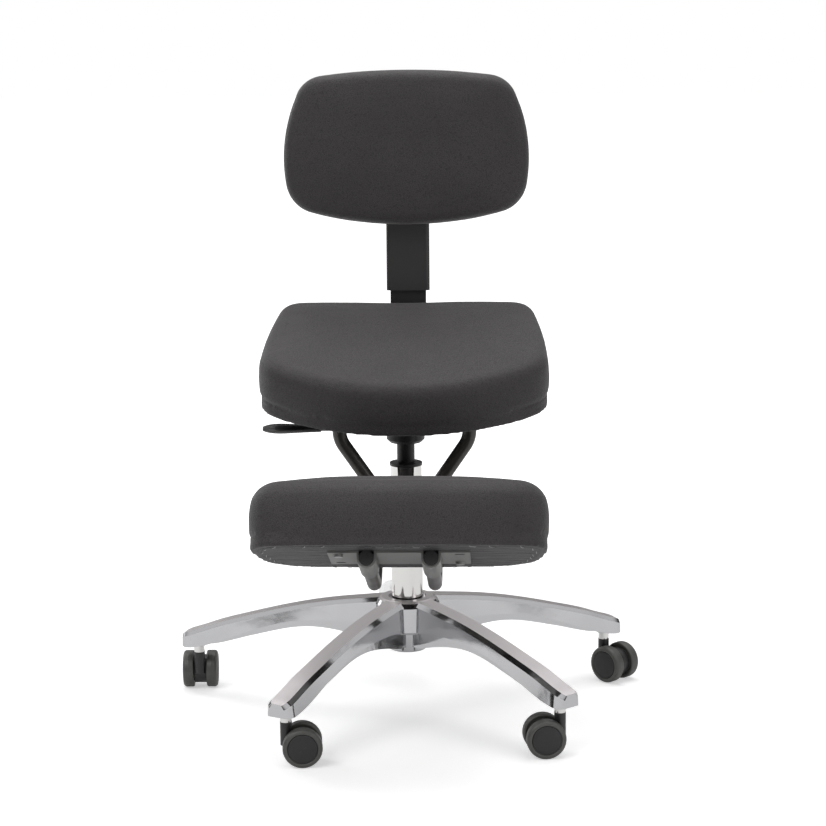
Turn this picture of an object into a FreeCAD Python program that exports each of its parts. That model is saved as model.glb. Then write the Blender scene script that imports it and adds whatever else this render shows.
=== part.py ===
import FreeCAD, Part
import math
import os
import Sketcher
from collections import namedtuple

from FreeCAD import Placement, Rotation, Vector

# Kneeling chair in millimetres. +Z is up and the sitter faces -Y.
# The origin is on the column's axis at the floor.

# Driving dimensions. Angles are in degrees.
SIZES = {
    # casters
    "wheel_radius": 30.0,
    "wheel_width": 18.0,
    "wheel_gap": 20.0,
    "wheel_shoulder": 5.0,
    "wheel_disc_radius": 21.0,
    "wheel_disc_rise": 1.2,
    "caster_trail": 24.0,
    "axle_radius": 3.0,
    "stem_radius": 5.5,
    "stem_length": 20.0,
    "stem_collar_radius": 8.5,
    "stem_collar_height": 11.0,
    "horn_rise": 6.0,
    "stem_tail_radius": 4.0,
    "stem_tail_length": 22.0,
    "housing_disc_radius": 23.0,
    "horn_radius": 8.8,
    "running_gap": 0.05,
    "side_gap": 0.5,
    "seat_gap": 0.2,
    # star base
    "caster_circle_radius": 350.0,
    "base_yaw": 24.5,
    "arm_count": 5.0,
    "arm_end_radius": 374.0,
    "arm_tip_height": 22.0,
    "arm_rib_half_width": 14.0,
    "arm_rib_wall": 3.5,
    "arm_half_width": 22.5,
    "arm_top_half_width": 14.0,
    "arm_edge_drop": 6.0,
    "arm_wall": 4.5,
    "hub_radius": 53.0,
    "hub_bottom": 92.0,
    "hub_lip": 127.0,
    "hub_ring_radius": 31.0,
    "hub_top": 178.0,
    "hub_recess_radius": 30.0,
    "hub_recess_depth": 5.0,
    # column
    "column_radius": 25.0,
    "column_wall": 2.0,
    "column_bottom": 95.0,
    "column_top": 391.0,
    "column_taper_length": 68.0,
    "column_taper_radius": 23.6,
    "column_floor": 4.0,
    "bush_length": 70.0,
    "bush_flange_radius": 25.8,
    "bush_flange_height": 4.0,
    "cylinder_radius": 14.0,
    "cylinder_wall": 2.0,
    "cylinder_length": 275.0,
    "cylinder_taper_radius": 13.0,
    "rod_radius": 5.0,
    "piston_length": 16.0,
    "buffer_height": 14.0,
    "bearing_height": 6.0,
    "clip_height": 2.5,
    "button_radius": 4.0,
    "button_rise": 8.0,
    "seat_drop": 20.0,
    # seat mechanism
    "boss_bottom": 428.0,
    "boss_radius": 30.0,
    "boss_chamfer": 5.0,
    "socket_depth": 42.0,
    "mechanism_length": 150.0,
    "mechanism_width": 168.0,
    "plate_bolt_inset": 16.0,
    "steel_plate": 3.0,
    "rail_height": 16.0,
    "lever_slot_half_width": 5.5,
    "lever_radius": 4.0,
    "lever_room": 3.6,
    "lever_arm": 20.0,
    "lever_drop": 33.0,
    "lever_pin_radius": 2.5,
    "paddle_length": 92.0,
    "paddle_depth": 34.0,
    "paddle_thickness": 13.0,
    "paddle_inner_x": -133.0,
    # seat
    "seat_tilt": 12.5,
    "seat_plane_height": 505.0,
    "seat_half_width": 226.0,
    "seat_side_radius": 960.0,
    "seat_widest_y": -56.0,
    "seat_front_y": -172.0,
    "seat_front_radius": 310.0,
    "seat_rear_y": 168.0,
    "seat_rear_radius": 1800.0,
    "seat_front_corner": 77.0,
    "seat_rear_corner": 41.0,
    "seat_thickness": 82.0,
    "seat_top_roll": 22.0,
    "seat_crown": 5.0,
    "seat_wedge": 3.5,
    "board_thickness": 12.0,
    "board_inset": 9.0,
    "cloth_thickness": 0.8,
    "cloth_inset": 14.0,
    # frame tubes
    "tube_radius": 11.0,
    "tube_wall": 2.0,
    "tube_top_x": 101.0,
    "tube_low_x": 47.0,
    "tube_y": -55.0,
    "tube_rear_y": 118.0,
    "tube_incline_top": 443.5,
    "tube_incline_bottom": 365.0,
    "tube_bend_radius": 42.0,
    "tube_front_y": -350.0,
    "cap_head": 5.0,
    # knee pad
    "knee_tilt": 22.7,
    "knee_front_y": -402.0,
    "knee_front_height": 361.0,
    "knee_half_width": 220.0,
    "knee_side_radius": 500.0,
    "knee_widest": 59.0,
    "knee_length": 236.0,
    "knee_front_radius": 1700.0,
    "knee_rear_radius": 1220.0,
    "knee_front_corner": 57.0,
    "knee_rear_corner": 90.0,
    "knee_thickness": 102.0,
    "knee_top_roll": 40.0,
    "knee_crown": 12.0,
    # knee bracket
    "bracket_half_width": 104.0,
    "bracket_length": 110.0,
    "bracket_front": 60.0,
    "bracket_hole_x": 88.5,
    "bracket_hole_spacing": 78.0,
    "bracket_hole_radius": 4.2,
    "bracket_slot_length": 15.0,
    "screw_radius": 3.5,
    "screw_head_radius": 6.5,
    "screw_head_height": 4.0,
    # back upright
    "upright_width": 58.0,
    "upright_thickness": 8.0,
    "upright_y": 209.0,
    "upright_reserve": 21.5,
    "upright_grip": 46.0,
    "upright_bend_radius": 30.0,
    "upright_depth_travel": 40.0,
    "clamp_length": 62.0,
    "clamp_wall": 3.0,
    "clamp_flange": 54.0,
    "ear_bolt_inset": 9.0,
    "sleeve_width": 70.0,
    "sleeve_depth": 24.0,
    "sleeve_bottom": 641.0,
    "sleeve_corner": 6.0,
    "back_travel": 60.0,
    "knob_radius": 21.0,
    "knob_length": 22.0,
    "knob_stem_radius": 4.0,
    "knob_standoff": 1.5,
    # backrest
    "back_tilt": 4.0,
    "back_centre_height": 873.5,
    "back_half_width": 198.0,
    "back_half_height": 124.5,
    "back_side_radius": 260.0,
    "back_widest": -18.0,
    "back_top_radius": 1100.0,
    "back_bottom_radius": 620.0,
    "back_top_corner": 50.0,
    "back_bottom_corner": 58.0,
    "back_cushion_thickness": 46.0,
    "back_roll": 20.0,
    "back_crown": 7.0,
    "shell_depth": 8.0,
    "shell_wall": 2.5,
    "carrier_half_width": 52.0,
    "carrier_low": -70.0,
    "carrier_high": 75.0,
    "carrier_bolt_inset": 12.0,
    "guide_low": -12.0,
    "guide_high": 48.0,
}


class Size:
    """A length that knows its value and the expression that gives it."""

    def __init__(self, text, value):
        self.text = text
        self.value = float(value)

    def __add__(self, other):
        other = as_size(other)
        return Size("(%s + %s)" % (self.text, other.text), self.value + other.value)

    def __sub__(self, other):
        other = as_size(other)
        return Size("(%s - %s)" % (self.text, other.text), self.value - other.value)

    def __mul__(self, other):
        other = as_size(other)
        return Size("(%s * %s)" % (self.text, other.text), self.value * other.value)

    def __truediv__(self, other):
        other = as_size(other)
        return Size("(%s / %s)" % (self.text, other.text), self.value / other.value)

    def __neg__(self):
        return Size("(0 - %s)" % self.text, -self.value)

    def __radd__(self, other):
        return as_size(other) + self

    def __rsub__(self, other):
        return as_size(other) - self

    def __rmul__(self, other):
        return as_size(other) * self

    def __float__(self):
        return self.value


def as_size(number):
    if isinstance(number, Size):
        return number
    return Size(repr(float(number)), number)


doc = FreeCAD.newDocument("KneelingChair")
sheet = doc.addObject("Spreadsheet::Sheet", "Sizes")
for row, (name, number) in enumerate(SIZES.items(), start=1):
    sheet.set("A%d" % row, name)
    sheet.set("B%d" % row, str(number))
    sheet.setAlias("B%d" % row, name)
doc.recompute()


def size(name):
    return Size("Sizes.%s" % name, sheet.get(name))


nodes = []


def keep(shape_object, label, placement=None):
    """Names a finished sub-part and sets where it stands."""
    shape_object.Label = label
    if placement is not None:
        shape_object.Placement = placement
    nodes.append(shape_object)
    return shape_object


def bind(item, **lengths):
    for prop, length in lengths.items():
        item.setExpression(prop, as_size(length).text)
    return item


def vector(x, y, z):
    return Vector(float(x), float(y), float(z))


def turned(axis, angle, base=(0, 0, 0)):
    return Placement(vector(*base), Rotation(vector(*axis), float(angle)))


X_AXIS = (1, 0, 0)
Z_AXIS = (0, 0, 1)


# Bodies made from sketches.

def new_body(name):
    return doc.addObject("PartDesign::Body", name)


def origin_feature(body, role):
    return next(item for item in body.Origin.OriginFeatures if item.Role == role)


def outline(body, role, points, offset=None):
    """A closed polygon on an origin plane, each corner held by two bound distances."""
    sketch = body.newObject("Sketcher::SketchObject", "Outline")
    sketch.AttachmentSupport = (origin_feature(body, role), [""])
    sketch.MapMode = "FlatFace"
    if offset is not None:
        bind(sketch, **{".AttachmentOffset.Base.z": offset})
    corners = [vector(u, v, 0) for u, v in points]
    count = len(corners)
    for index in range(count):
        sketch.addGeometry(Part.LineSegment(corners[index], corners[(index + 1) % count]), False)
    for index in range(count):
        sketch.addConstraint(sketcher_constraint("Coincident", index, 2, (index + 1) % count, 1))
    for index, (u, v) in enumerate(points):
        across = sketch.addConstraint(
            sketcher_constraint("DistanceX", -1, 1, index, 1, float(u)))
        up = sketch.addConstraint(
            sketcher_constraint("DistanceY", -1, 1, index, 1, float(v)))
        sketch.setExpression("Constraints[%d]" % across, as_size(u).text)
        sketch.setExpression("Constraints[%d]" % up, as_size(v).text)
    return sketch


def sketcher_constraint(*values):

    return Sketcher.Constraint(*values)


def revolve(name, points):
    """A body turned about Z from (radius, height) corners."""
    body = new_body(name)
    sketch = outline(body, "XZ_Plane", points)
    turning = body.newObject("PartDesign::Revolution", "Turning")
    turning.Profile = sketch
    turning.ReferenceAxis = (sketch, ["V_Axis"])
    turning.Angle = 360
    return body


def extrude(name, role, points, length):
    """A body padded evenly to both sides of an origin plane."""
    body = new_body(name)
    pad = body.newObject("PartDesign::Pad", "Pad")
    pad.Profile = outline(body, role, points)
    pad.SideType = "Symmetric"
    bind(pad, Length=length)
    return body


def round_edges(body, radius, chosen):
    """Rounds the edges of a body's last feature that the test picks."""
    doc.recompute()
    base = body.Tip
    names = []
    for index, edge in enumerate(base.Shape.Edges, start=1):
        if chosen(edge):
            names.append("Edge%d" % index)
    fillet = body.newObject("PartDesign::Fillet", "Rounding")
    fillet.Base = (base, names)
    bind(fillet, Radius=radius)
    return fillet


def edge_middle(edge):
    return edge.valueAt((edge.FirstParameter + edge.LastParameter) / 2)


# Plain solids.

def cylinder(name, radius, height, low=None):
    """An upright cylinder. Where low is left out, its place is set later."""
    item = bind(doc.addObject("Part::Cylinder", name), Radius=radius, Height=height)
    if low is not None:
        bind(item, **{"Placement.Base.z": low})
    return item


def cone(name, low_radius, high_radius, height, low=0):
    item = doc.addObject("Part::Cone", name)
    bind(item, Radius1=low_radius, Radius2=high_radius, Height=height)
    bind(item, **{"Placement.Base.z": low})
    return item


def box(name, low, high):
    """A box between two corners."""
    item = doc.addObject("Part::Box", name)
    spans = [as_size(b) - a for a, b in zip(low, high)]
    bind(item, Length=spans[0], Width=spans[1], Height=spans[2])
    for letter, value in zip("xyz", low):
        bind(item, **{"Placement.Base." + letter: value})
    return item


def fuse(name, pieces):
    item = doc.addObject("Part::MultiFuse", name)
    item.Shapes = pieces
    item.Refine = True
    return item


def cut(name, base, tool):
    item = doc.addObject("Part::Cut", name)
    item.Base = base
    item.Tool = tool
    item.Refine = True
    return item


def in_frame(name, pieces, placement):
    """Pieces made in a tilted frame, carried to where that frame stands."""
    item = doc.addObject("Part::Compound", name)
    item.Links = pieces
    item.Placement = placement
    return item


def lie_along(item, axis, angle, base):
    """Turns a plain solid and sets its base from bound lengths."""
    item.Placement = turned(axis, angle, base)
    for letter, value in zip("xyz", base):
        bind(item, **{"Placement.Base." + letter: value})
    return item


def group(name, shapes, placement=None):
    """Separate identical solids that share one node."""
    item = doc.addObject("Part::Feature", name)
    item.Shape = Part.makeCompound(shapes)
    return keep(item, name, placement)


# Casters: a steel stem, a web between two wheels, and the axle that carries them.

wheel_radius = size("wheel_radius")
wheel_width = size("wheel_width")
side_gap = size("side_gap")
running_gap = size("running_gap")
web_half = size("wheel_gap") / 2 - side_gap
arm_tip_bottom = wheel_radius * 2 + size("stem_collar_height") + size("horn_rise")
collar_top = arm_tip_bottom - size("seat_gap")
collar_bottom = collar_top - size("stem_collar_height")


def make_stem(name, placement):
    tail = size("stem_tail_radius")
    collar = size("stem_collar_radius")
    body = revolve(name, [
        (0, collar_bottom - size("stem_tail_length")),
        (tail, collar_bottom - size("stem_tail_length")),
        (tail, collar_bottom),
        (collar, collar_bottom),
        (collar, collar_top),
        (size("stem_radius"), collar_top),
        (size("stem_radius"), arm_tip_bottom + size("stem_length")),
        (0, arm_tip_bottom + size("stem_length")),
    ])
    return keep(body, name, placement)


def make_housing(name, placement):
    """The web: a disc round the axle and a horn up to the stem's collar."""
    trail = size("caster_trail")
    horn = size("horn_radius")
    disc = cylinder(name + "_disc", size("housing_disc_radius"), web_half * 2)
    lie_along(disc, X_AXIS, 90, (trail, web_half, wheel_radius))
    post = cylinder(name + "_post", horn, collar_bottom - wheel_radius, wheel_radius)
    bridge = box(name + "_bridge", (0, -horn, wheel_radius - horn),
                 (trail, horn, wheel_radius + horn * 2))
    solid = fuse(name + "_solid", [disc, post, bridge])
    stem_hole = cylinder(name + "_stem_hole", size("stem_tail_radius"),
                         size("stem_tail_length") + 1, collar_bottom - size("stem_tail_length"))
    axle_hole = cylinder(name + "_axle_hole", size("axle_radius"), web_half * 4)
    lie_along(axle_hole, X_AXIS, 90, (trail, web_half * 2, wheel_radius))
    bored = cut(name + "_bored", solid, stem_hole)
    return keep(cut(name, bored, axle_hole), name, placement)


def make_axle(name, placement):
    half = size("wheel_gap") / 2 + wheel_width - 3
    axle = cylinder(name, size("axle_radius"), half * 2)
    along = turned(X_AXIS, 90, (size("caster_trail"), half, wheel_radius))
    return keep(axle, name, placement.multiply(along))


def make_wheel(name, placement, side):
    """A tyred wheel with a domed disc, open to its axle on the inner side."""
    shoulder = size("wheel_shoulder")
    bore = size("axle_radius") + running_gap
    disc = size("wheel_disc_radius")
    rise = size("wheel_disc_rise")
    floor = wheel_width - 3 + running_gap * 4
    body = revolve(name, [
        (bore, 0),
        (bore, floor),
        (0, floor),
        (0, wheel_width + rise),
        (disc / 2, wheel_width + rise * 0.75),
        (disc, wheel_width),
        (wheel_radius - shoulder, wheel_width),
        (wheel_radius - shoulder * 0.3, wheel_width - shoulder * 0.3),
        (wheel_radius, wheel_width - shoulder),
        (wheel_radius, shoulder * 0.4),
        (wheel_radius - shoulder * 0.4, 0),
    ])
    outward = turned(X_AXIS, -90 * side,
                     (size("caster_trail"), size("wheel_gap") / 2 * side, wheel_radius))
    return keep(body, name, placement.multiply(outward))


# Where each caster trails from its stem, from the arm at base_yaw on, anticlockwise.
TRAIL_ANGLES = {"right": -43.0, "rear": 60.0, "left": 92.0, "front_left": 5.0,
                "front_right": 188.5}


def make_casters():
    radius = size("caster_circle_radius")
    for index, (where, trail_angle) in enumerate(TRAIL_ANGLES.items()):
        angle = math.radians(float(size("base_yaw")) + 360.0 * index / float(size("arm_count")))
        base = (float(radius) * math.cos(angle), float(radius) * math.sin(angle), 0)
        place = turned(Z_AXIS, trail_angle, base)
        name = "caster_" + where
        make_stem(name + "_stem", place)
        make_housing(name + "_housing", place)
        make_axle(name + "_axle", place)
        make_wheel(name + "_wheel_a", place, 1)
        make_wheel(name + "_wheel_b", place, -1)


# Star base: a turned hub and five arms. An arm is a skin with a lip over a hollow rib.

ArmStation = namedtuple("ArmStation", "distance top lip rib share")

# From the hub out: distance, heights of the top, the lip and the rib's edge, share of the width.
arm_end = size("arm_end_radius")
ARM_STATIONS = [
    ArmStation(26, 178, 128, 101, 1.0),
    ArmStation(70, 173.5, 133.5, 109, 1.0),
    ArmStation(110, 168.5, 136, 118, 0.98),
    ArmStation(150, 162, 135, 122, 0.98),
    ArmStation(190, 153.5, 130.5, 118.5, 0.98),
    ArmStation(230, 143.5, 120.5, 109, 0.99),
    ArmStation(270, 132.5, 106.5, 98, 1.0),
    ArmStation(300, 124, 94.5, 89, 1.0),
    ArmStation(320, 117.5, 87, 84.5, 1.0),
    ArmStation(size("caster_circle_radius"), 106.5, arm_tip_bottom + 2, arm_tip_bottom + 4, 1.0),
]
TIP_STATIONS = [
    ArmStation(arm_end - 10, 102, arm_tip_bottom + 0.6, arm_tip_bottom, 0.97),
    ArmStation(arm_end - 4, 99.5, arm_tip_bottom + 0.6, arm_tip_bottom, 0.84),
    ArmStation(arm_end, 97, arm_tip_bottom + 1, arm_tip_bottom, 0.6),
]


def arm_section(body, station, inner):
    """A cross-section of an arm's skin, or of the hollow under it."""
    wall = size("arm_wall") * inner
    top = as_size(station.top) - wall * 1.3
    low = as_size(station.lip) - inner
    wide = size("arm_half_width") * station.share - wall
    narrow = size("arm_top_half_width") * station.share - wall * 0.5
    edge = top - size("arm_edge_drop")
    mid = (wide + narrow) * 0.5
    return outline(body, "YZ_Plane", [
        (-wide, low), (wide, low), (mid + 2, edge), (narrow, top), (-narrow, top),
        (-mid - 2, edge),
    ], as_size(station.distance))


def rib_section(body, station, inner):
    """A cross-section of the rib under an arm, or of the channel in it."""
    half = size("arm_rib_half_width") - size("arm_rib_wall") * inner
    low = as_size(station.rib) - inner
    top = as_size(station.top) - size("arm_wall") * (0.7 + 0.7 * inner)
    return outline(body, "YZ_Plane", [
        (-half, low), (half, low), (half - 2, top), (2 - half, top),
    ], as_size(station.distance))


def arm_loft(body, kind, label, sections):
    loft = body.newObject("PartDesign::" + kind, label)
    loft.Profile = sections[0]
    loft.Sections = sections[1:]
    return ring_of(body, loft)


def ring_of(body, feature):
    """Repeats a feature once for each arm."""
    pattern = body.newObject("PartDesign::PolarPattern", "Around")
    pattern.Originals = [feature]
    pattern.Axis = (origin_feature(body, "Z_Axis"), [""])
    pattern.Angle = 360
    bind(pattern, Occurrences=size("arm_count"))
    body.Tip = pattern
    return pattern


def make_star_base():
    hub = size("hub_radius")
    low = size("hub_bottom")
    top = size("hub_top")
    ring = size("hub_ring_radius")
    lip = size("hub_lip")
    shoulder = size("hub_recess_depth")
    body = revolve("star_base", [
        (0, low), (ring - 2, low), (ring, low + 3), (ring, lip - 4), (ring + 4, lip), (hub - 2, lip),
        (hub, lip + 3), (hub - 2, top - shoulder * 2), (hub - 6, top - shoulder / 2),
        (hub - 12, top), (0, top),
    ])
    arm_loft(body, "AdditiveLoft", "Arm",
             [arm_section(body, station, 0) for station in ARM_STATIONS + TIP_STATIONS])
    arm_loft(body, "SubtractiveLoft", "Hollow",
             [arm_section(body, station, 1) for station in ARM_STATIONS[1:-2]])
    arm_loft(body, "AdditiveLoft", "Rib",
             [rib_section(body, station, 0) for station in ARM_STATIONS])
    arm_loft(body, "SubtractiveLoft", "Channel",
             [rib_section(body, station, 1) for station in ARM_STATIONS[1:-2]])
    boss = body.newObject("PartDesign::AdditiveCylinder", "StemBoss")
    bind(boss, Radius=size("stem_radius") + 6, Height=size("arm_tip_height"))
    bind(boss, **{"Placement.Base.x": size("caster_circle_radius"),
                  "Placement.Base.z": arm_tip_bottom})
    ring_of(body, boss)
    socket = body.newObject("PartDesign::SubtractiveCylinder", "StemSocket")
    bind(socket, Radius=size("stem_radius") + running_gap, Height=size("stem_length") + 1)
    bind(socket, **{"Placement.Base.x": size("caster_circle_radius"),
                    "Placement.Base.z": arm_tip_bottom - 0.5})
    ring_of(body, socket)
    bore = body.newObject("PartDesign::Groove", "ColumnBore")
    taper_top = size("column_bottom") + size("column_taper_length")
    recess = size("hub_recess_radius")
    bore.Profile = outline(body, "XZ_Plane", [
        (0, low - 1), (size("column_taper_radius"), low - 1),
        (size("column_taper_radius"), size("column_bottom")),
        (size("column_radius"), taper_top), (size("column_radius"), top - size("hub_recess_depth")),
        (recess, top - size("hub_recess_depth")), (recess, top + 1), (0, top + 1),
    ])
    bore.ReferenceAxis = (bore.Profile[0], ["V_Axis"])
    bore.Angle = 360
    return keep(body, "star_base", turned(Z_AXIS, size("base_yaw")))


# Column: a tapered tube in the hub, with the gas cylinder sliding in its bush.

def make_column():
    outer = size("column_radius")
    wall = size("column_wall")
    bottom = size("column_bottom")
    top = size("column_top")
    taper = size("column_taper_radius")
    taper_top = bottom + size("column_taper_length")
    rod = size("rod_radius")
    bush_low = top - size("bush_length")
    inside = outer - wall
    keep(revolve("column_tube", [
        (rod + running_gap, bottom), (taper, bottom), (outer, taper_top), (outer, top),
        (inside, top), (inside, taper_top), (taper - wall, bottom + size("column_floor")),
        (rod + running_gap, bottom + size("column_floor")),
    ]), "column_tube")
    shaft = size("cylinder_radius")
    flange = size("bush_flange_radius")
    keep(revolve("column_guide_bush", [
        (shaft + running_gap, bush_low), (inside, bush_low), (inside, top), (flange, top),
        (flange, top + size("bush_flange_height")),
        (shaft + running_gap, top + size("bush_flange_height")),
    ]), "column_guide_bush")


# The rod hangs on a clip under the column's floor and turns on a bearing above it.
rod_seat = size("column_bottom") + size("column_floor")
bearing_top = rod_seat + size("bearing_height")
cylinder_top = size("boss_bottom") + size("socket_depth")
cylinder_bottom = cylinder_top - size("cylinder_length")
inside_top = cylinder_top - size("button_rise") * 4
piston_top = inside_top - size("seat_drop") - 4


def make_rod():
    rod = size("rod_radius")
    gap = running_gap
    clip = size("clip_height")
    seat_low = size("column_bottom")
    bore = size("cylinder_radius") - size("cylinder_wall") - gap
    low = seat_low - clip - 3
    keep(revolve("piston_rod", [
        (0, low), (rod, low), (rod, piston_top - size("piston_length")),
        (bore, piston_top - size("piston_length")), (bore, piston_top), (0, piston_top),
    ]), "piston_rod")
    keep(revolve("rod_clip", [
        (rod, seat_low - clip - gap), (rod + 6, seat_low - clip - gap),
        (rod + 6, seat_low - gap), (rod, seat_low - gap),
    ]), "rod_clip")
    keep(revolve("thrust_bearing", [
        (rod, rod_seat + gap), (rod + 8, rod_seat + gap), (rod + 8, bearing_top),
        (rod, bearing_top),
    ]), "thrust_bearing")
    keep(revolve("rod_buffer", [
        (rod, bearing_top), (rod + 5, bearing_top), (rod + 6.5, bearing_top + 4),
        (rod + 5, bearing_top + size("buffer_height")),
        (rod, bearing_top + size("buffer_height")),
    ]), "rod_buffer")


def make_gas_cylinder():
    shaft = size("cylinder_radius")
    bore = shaft - size("cylinder_wall")
    taper = size("cylinder_taper_radius")
    button = size("button_radius") + running_gap
    rod = size("rod_radius") + running_gap
    keep(revolve("gas_cylinder", [
        (rod, cylinder_bottom), (shaft - 2, cylinder_bottom), (shaft, cylinder_bottom + 4),
        (shaft, size("boss_bottom") + 1), (taper, cylinder_top), (button, cylinder_top),
        (button, inside_top), (bore, inside_top), (bore, cylinder_bottom + 14),
        (rod, cylinder_bottom + 14),
    ]), "gas_cylinder")
    keep(cylinder("release_button", size("button_radius"), size("button_rise") * 3,
                  cylinder_top - size("button_rise") * 2), "release_button")


# The seat's frame: its local Z is square to the seat's underside.
seat_angle = size("seat_tilt")
seat_place = turned(X_AXIS, seat_angle, (0, 0, size("seat_plane_height")))
cloth = size("cloth_thickness")


def seat_height_at(y, depth=0.0):
    """Height at y of the plane that lies depth under the seat's underside."""
    slope = math.radians(float(seat_angle))
    rise = float(y) * math.tan(slope)
    return float(size("seat_plane_height")) + rise - float(depth) / math.cos(slope)


lever_height = cylinder_top + size("button_rise") + size("lever_radius") + 0.3


def plate_bolt_spots():
    """Where the plate's bolts stand in the seat's frame."""
    half_x = size("mechanism_width") / 2 - size("plate_bolt_inset")
    half_y = size("mechanism_length") / 2 - size("plate_bolt_inset")
    return [(half_x * side, half_y * end) for side in (-1, 1) for end in (-1, 1)]


def make_mechanism():
    """A plate under the seat, two side rails and a boss that seats the cylinder's taper."""
    plate = size("steel_plate")
    half_x = size("mechanism_width") / 2
    half_y = size("mechanism_length") / 2
    rail = size("rail_height")
    boss = size("boss_radius")
    low = size("boss_bottom")
    chamfer = size("boss_chamfer")
    reach = size("seat_plane_height") - low
    foot = cone("boss_foot", boss - chamfer, boss, chamfer, low)
    post = cylinder("boss_post", boss, reach, low + chamfer)
    boss_solid = fuse("boss_solid", [foot, post])
    above = box("above_plate", (-200, -200, -cloth - plate), (200, 200, 120))
    boss_cut = cut("boss_cut", boss_solid, in_frame("above_frame", [above], seat_place))
    flat = box("mechanism_plate", (-half_x, -half_y, -cloth - plate), (half_x, half_y, -cloth))
    sheet_metal = [flat]
    for side, tag in ((-1, "left"), (1, "right")):
        inner = half_x * side - plate * (side + 1) / 2
        sheet_metal.append(box("rail_" + tag, (inner, -half_y, -cloth - rail),
                               (inner + plate, half_y, -cloth - plate / 2)))
    ways = []
    for index, (x, y) in enumerate(plate_bolt_spots()):
        way = cylinder("plate_hole_%d" % index, size("screw_radius"), plate + 4, -cloth - plate - 2)
        ways.append(bind(way, **{"Placement.Base.x": x, "Placement.Base.y": y}))
    pressing = cut("pressing", fuse("pressing_solid", sheet_metal), fuse("pressing_holes", ways))
    pressing.Placement = seat_place
    solid = fuse("mechanism_solid", [boss_cut, pressing])
    socket = cone("socket_taper", size("cylinder_radius"), size("cylinder_taper_radius"),
                  size("socket_depth") - 1, low + 1)
    mouth = cylinder("socket_mouth", size("cylinder_radius"), 2, low - 1)
    slot = size("lever_slot_half_width")
    room = size("lever_radius") + size("lever_room")
    well = box("lever_well", (-boss - 2, -slot, lever_height - room),
               (size("button_radius") * 2, slot, lever_height + room))
    button_way = cylinder("button_way", size("button_radius") + 1, size("button_rise") * 2,
                          cylinder_top - 1)
    pin_hole = cylinder("lever_pin_hole", size("lever_pin_radius"), boss * 2)
    lie_along(pin_hole, X_AXIS, 90, (-size("lever_arm"), boss, lever_height))
    holes = fuse("mechanism_holes", [socket, mouth, well, button_way, pin_hole])
    keep(cut("seat_mechanism", solid, holes), "seat_mechanism")
    reach_y = float(size("lever_slot_half_width")) + 7
    pin = cylinder("lever_pin", size("lever_pin_radius"), 2 * reach_y)
    keep(pin, "lever_pin", turned(X_AXIS, 90, (-size("lever_arm"), reach_y, lever_height)))


def make_lever():
    """A bent rod from over the button out to the paddle on the sitter's right."""
    rod = size("lever_radius")
    arm = size("lever_arm")
    high = float(lever_height)
    low = high - float(size("lever_drop"))
    inner = float(size("paddle_inner_x"))
    route = [vector(float(rod), 0, high), vector(-46, 0, high), vector(-80, 0, low),
             vector(inner - 40, 0, low)]
    shape = swept_tube(route, [14.0, 14.0], rod)
    eye = Part.makeCylinder(float(size("lever_pin_radius")) + 2, float(rod) * 1.6,
                            vector(-arm, rod * 0.8, high), Vector(0, -1, 0))
    hole = Part.makeCylinder(float(size("lever_pin_radius") + running_gap), 40,
                             vector(-arm, 20, high), Vector(0, -1, 0))
    shape = shape.fuse(eye).cut(hole)
    item = doc.addObject("Part::Feature", "lever_rod")
    item.Shape = shape
    keep(item, "lever_rod")
    length = float(size("paddle_length"))
    wide = float(size("paddle_depth")) / 2
    thick = float(size("paddle_thickness"))
    sections = []
    for share, width_share, height_share in ((0, 0.42, 0.8), (0.3, 0.62, 0.9), (0.6, 1, 1),
                                             (0.85, 0.9, 0.92), (1, 0.42, 0.45)):
        sections.append(oval(inner - share * length, low, wide * width_share,
                             thick * height_share / 2))
    paddle = Part.makeLoft(sections, True, False)
    sleeve = Part.makeCylinder(float(rod), 42, vector(inner - 41, 0, low), Vector(1, 0, 0))
    grip = doc.addObject("Part::Feature", "lever_paddle")
    grip.Shape = paddle.cut(sleeve)
    keep(grip, "lever_paddle")


def oval(x, z, half_width, half_height):
    """A flat-sided oval section across X, made of four arcs."""
    corner = 0.72
    points = [vector(x, half_width, z), vector(x, half_width * corner, z + half_height * corner),
              vector(x, 0, z + half_height), vector(x, -half_width * corner, z + half_height * corner),
              vector(x, -half_width, z), vector(x, -half_width * corner, z - half_height * corner),
              vector(x, 0, z - half_height), vector(x, half_width * corner, z - half_height * corner)]
    edges = []
    for start in (0, 2, 4, 6):
        edges.append(Part.Arc(points[start], points[start + 1], points[(start + 2) % 8]).toShape())
    return Part.Wire(edges)


# Tubes swept along straight runs joined by tangent arcs.

def rounded_path(points, radii):
    edges = []
    start = points[0]
    for index in range(1, len(points) - 1):
        corner = points[index]
        back = (points[index - 1] - corner).normalize()
        ahead = (points[index + 1] - corner).normalize()
        half = back.getAngle(ahead) / 2
        reach = radii[index - 1] / math.tan(half)
        entry = corner + back * reach
        leave = corner + ahead * reach
        middle = (back + ahead).normalize()
        centre = corner + middle * (radii[index - 1] / math.sin(half))
        edges.append(Part.LineSegment(start, entry).toShape())
        edges.append(Part.Arc(entry, centre - middle * radii[index - 1], leave).toShape())
        start = leave
    edges.append(Part.LineSegment(start, points[-1]).toShape())
    return Part.Wire(edges)


def swept_tube(points, radii, outer, wall=None):
    path = rounded_path(points, radii)
    direction = (points[1] - points[0]).normalize()

    def pipe(radius):
        ring = Part.Wire([Part.makeCircle(radius, points[0], direction)])
        return path.makePipeShell([ring], True, False)

    shape = pipe(float(outer))
    if wall is not None:
        shape = shape.cut(pipe(float(outer) - float(wall)))
    return shape


# Frame tubes: a mirror pair from under the seat to the knee pad.
knee_angle = size("knee_tilt")
knee_place = turned(X_AXIS, -float(knee_angle),
                    (0, size("knee_front_y"), size("knee_front_height")))


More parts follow.
